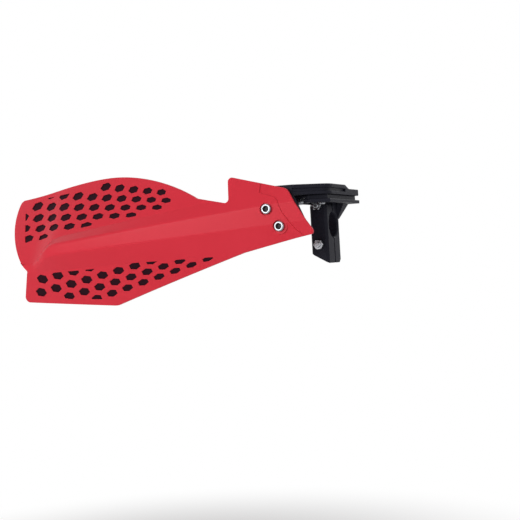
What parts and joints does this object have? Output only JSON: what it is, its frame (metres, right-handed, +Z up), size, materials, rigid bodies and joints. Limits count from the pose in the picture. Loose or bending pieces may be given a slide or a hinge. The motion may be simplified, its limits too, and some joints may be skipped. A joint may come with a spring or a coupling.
{
  "type": "motorcycle hand guard",
  "caption": "Right-hand motorcycle hand guard: a curved plastic shield with two honeycombed fins on a nylon arm, held to the handlebar by a split clamp.",
  "frame": {"origin": "centre of the handlebar clamp's bore, half way along it", "axes": "+X along the handlebar towards the middle of the motorcycle, -Y forward, +Z up"},
  "size_m": [0.3204, 0.131, 0.1164],
  "materials": {
    "shield_red": "satin moulded",
    "nylon_black": "moulded, fine grain",
    "zinc_steel": "zinc plated"
  },
  "bodies": {
    "root": {"arm_bolt_front": "zinc_steel", "arm_bolt_rear": "zinc_steel", "arm_nut_front": "zinc_steel", "arm_nut_rear": "zinc_steel", "clamp_body": "nylon_black", "clamp_bolt_lower": "zinc_steel", "clamp_bolt_upper": "zinc_steel", "clamp_cap": "nylon_black", "clamp_nut_lower": "zinc_steel", "clamp_nut_upper": "zinc_steel", "clamp_washer_lower": "zinc_steel", "clamp_washer_upper": "zinc_steel", "shield": "shield_red", "shield_nut_lower": "zinc_steel", "shield_nut_upper": "zinc_steel", "shield_screw_lower": "zinc_steel", "shield_screw_upper": "zinc_steel", "shield_washer_lower": "zinc_steel", "shield_washer_upper": "zinc_steel", "support_arm": "nylon_black"}
  },
  "joints": []
}
